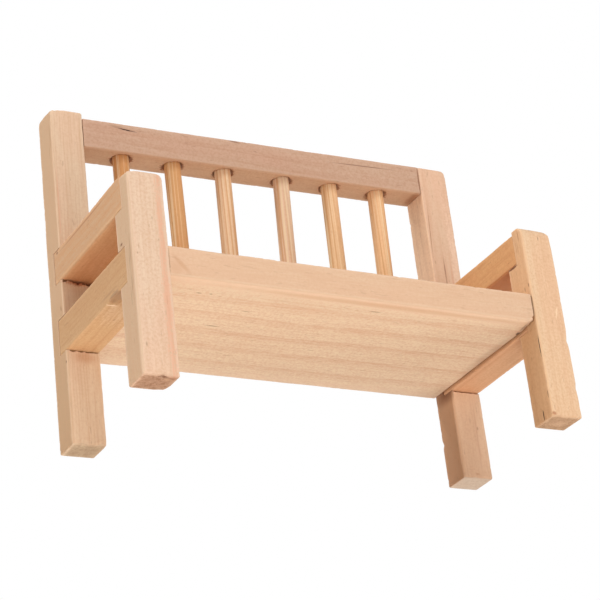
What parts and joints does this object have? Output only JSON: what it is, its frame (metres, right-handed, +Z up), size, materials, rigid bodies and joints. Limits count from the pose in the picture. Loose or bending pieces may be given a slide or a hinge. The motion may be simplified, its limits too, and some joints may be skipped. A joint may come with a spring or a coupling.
{
  "type": "dolls house bench",
  "caption": "Miniature plain wood garden bench with square posts, housed side arms, a plank seat and a back of round spindles.",
  "frame": {"origin": "on the floor, below the middle of the bench's length and depth", "axes": "+X along the bench to a sitter's left, +Y from the front edge of the seat to the back, +Z up"},
  "size_m": [0.107, 0.045, 0.0837],
  "materials": {
    "post_wood": "bare sanded softwood, straight fine grain, no varnish",
    "rail_wood": "bare sanded softwood, no varnish",
    "seat_wood": "bare flat-sawn softwood with long growth-ring streaks",
    "back_rail_wood": "bare pinkish-brown hardwood with a dark streak",
    "spindle_bamboo": "bare bamboo or birch dowel with long dark fibres"
  },
  "bodies": {
    "root": {"left_front_post": "post_wood", "right_front_post": "post_wood", "left_rear_post": "post_wood", "right_rear_post": "post_wood", "left_arm": "rail_wood", "right_arm": "rail_wood", "left_side_rail": "rail_wood", "right_side_rail": "rail_wood", "seat_board": "seat_wood", "back_rail": "back_rail_wood", "spindle_1": "spindle_bamboo", "spindle_2": "spindle_bamboo", "spindle_3": "spindle_bamboo", "spindle_4": "spindle_bamboo", "spindle_5": "spindle_bamboo", "spindle_6": "spindle_bamboo"}
  },
  "joints": []
}
